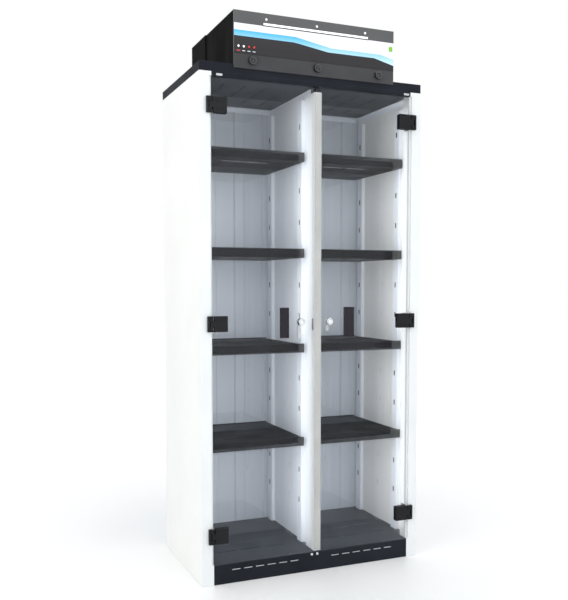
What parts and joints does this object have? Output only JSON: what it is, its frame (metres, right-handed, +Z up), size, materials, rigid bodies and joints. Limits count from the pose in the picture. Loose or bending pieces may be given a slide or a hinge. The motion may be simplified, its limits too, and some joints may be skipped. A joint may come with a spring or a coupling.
{
  "type": "filtered chemical storage cabinet",
  "caption": "Tall storage cabinet for reagent bottles with two hinged glass doors, black shelves in two bays and a fan filter unit on top.",
  "frame": {"origin": "centre of the overall footprint, at floor level", "axes": "+Z up, the doors face -Y, +X to the right of someone who stands before the doors"},
  "size_m": [0.8, 0.472, 1.8334],
  "materials": {
    "side_white": "satin powder coat",
    "frame_white": "satin powder coat",
    "inner_white": "satin powder coat",
    "cap_black": "fine-texture powder coat",
    "shelf_black": "fine-texture powder coat",
    "ceiling_grey": "satin powder coat",
    "door_glass": "polished clear",
    "hinge_black": "matt black",
    "handle_black": "matt black",
    "bright_metal": "polished",
    "plain_steel": "zinc plated",
    "foot_plastic": "moulded",
    "module_black": "satin powder coat",
    "panel_grey": "satin powder coat",
    "knob_black": "gloss",
    "bar_white": "diffuser",
    "lamp_red": "lens",
    "button_green": "lit cap",
    "board_green": "solder mask",
    "filter_mat": "pleated",
    "carbon_black": "granular",
    "fan_black": "moulded",
    "inlet_black": "moulded"
  },
  "bodies": {
    "cabinet": {"left_side_panel": "side_white", "right_side_panel": "side_white", "left_upright": "frame_white", "right_upright": "frame_white", "centre_post": "frame_white", "partition_panel": "frame_white", "back_panel": "inner_white", "left_bay_standards": "inner_white", "right_bay_standards": "inner_white", "ceiling_rails": "inner_white", "top_slab": "cap_black", "header_rail": "cap_black", "plinth_panel": "cap_black", "door_catch": "cap_black", "floor_tray": "shelf_black", "left_shelf_1": "shelf_black", "left_shelf_2": "shelf_black", "left_shelf_3": "shelf_black", "left_shelf_4": "shelf_black", "right_shelf_1": "shelf_black", "right_shelf_2": "shelf_black", "right_shelf_3": "shelf_black", "right_shelf_4": "shelf_black", "ceiling_panel": "ceiling_grey", "hinge_frame_leaves": "hinge_black", "hinge_brackets": "hinge_black", "stop_studs": "bright_metal", "hinge_pins": "plain_steel", "shelf_clips": "plain_steel", "levelling_feet": "foot_plastic", "filter_casing": "module_black", "fan_hood": "module_black", "control_panel": "panel_grey", "filter_cover": "panel_grey", "light_bar": "bar_white", "indicator_lamps": "lamp_red", "control_board": "board_green", "prefilter": "filter_mat", "carbon_filter": "carbon_black", "fan_housing": "fan_black", "power_inlet": "inlet_black"},
    "left_door": {"left_door_glass": "door_glass", "left_hinge_leaves": "hinge_black", "left_hinge_clamps": "hinge_black", "left_handle": "handle_black", "left_lock_body": "bright_metal"},
    "right_door": {"right_door_glass": "door_glass", "right_hinge_leaves": "hinge_black", "right_hinge_clamps": "hinge_black", "right_handle": "handle_black", "right_lock_body": "bright_metal"},
    "left_lock": {"left_lock_plug": "bright_metal", "left_lock_cam": "plain_steel"},
    "right_lock": {"right_lock_plug": "bright_metal", "right_lock_cam": "plain_steel"},
    "left_knob": {"left_cover_knob": "knob_black"},
    "centre_knob": {"centre_cover_knob": "knob_black"},
    "right_knob": {"right_cover_knob": "knob_black"},
    "button": {"power_button": "button_green"},
    "fan_wheel": {"fan_rotor": "fan_black"}
  },
  "joints": [
    {"name": "left_door_hinge", "type": "hinge", "parent": "cabinet", "child": "left_door", "pos_m": [-0.365, -0.2215, 0.847], "axis": [0, 0, -1], "range_deg": [0, 105]},
    {"name": "right_door_hinge", "type": "hinge", "parent": "cabinet", "child": "right_door", "pos_m": [0.365, -0.2215, 0.847], "axis": [0, 0, 1], "range_deg": [0, 105]},
    {"name": "left_lock_turn", "type": "hinge", "parent": "left_door", "child": "left_lock", "pos_m": [-0.052, -0.216, 0.849], "axis": [0, -1, 0], "range_deg": [0, 90]},
    {"name": "right_lock_turn", "type": "hinge", "parent": "right_door", "child": "right_lock", "pos_m": [0.052, -0.216, 0.849], "axis": [0, 1, 0], "range_deg": [0, 90]},
    {"name": "left_knob_turn", "type": "hinge", "parent": "cabinet", "child": "left_knob", "pos_m": [-0.2265, -0.222, 1.678], "axis": [0, 1, 0], "range_deg": [0, 90]},
    {"name": "centre_knob_turn", "type": "hinge", "parent": "cabinet", "child": "centre_knob", "pos_m": [0, -0.222, 1.678], "axis": [0, 1, 0], "range_deg": [0, 90]},
    {"name": "right_knob_turn", "type": "hinge", "parent": "cabinet", "child": "right_knob", "pos_m": [0.2265, -0.222, 1.678], "axis": [0, 1, 0], "range_deg": [0, 90]},
    {"name": "power_button_press", "type": "slide", "parent": "cabinet", "child": "button", "axis": [0, 1, 0], "range_m": [0, 0.002], "stiffness_N_per_m": 300, "springref_m": -0.001},
    {"name": "fan_spin", "type": "hinge", "parent": "cabinet", "child": "fan_wheel", "pos_m": [0, 0.151, 1.8], "axis": [0, 0, 1], "continuous": true}
  ]
}
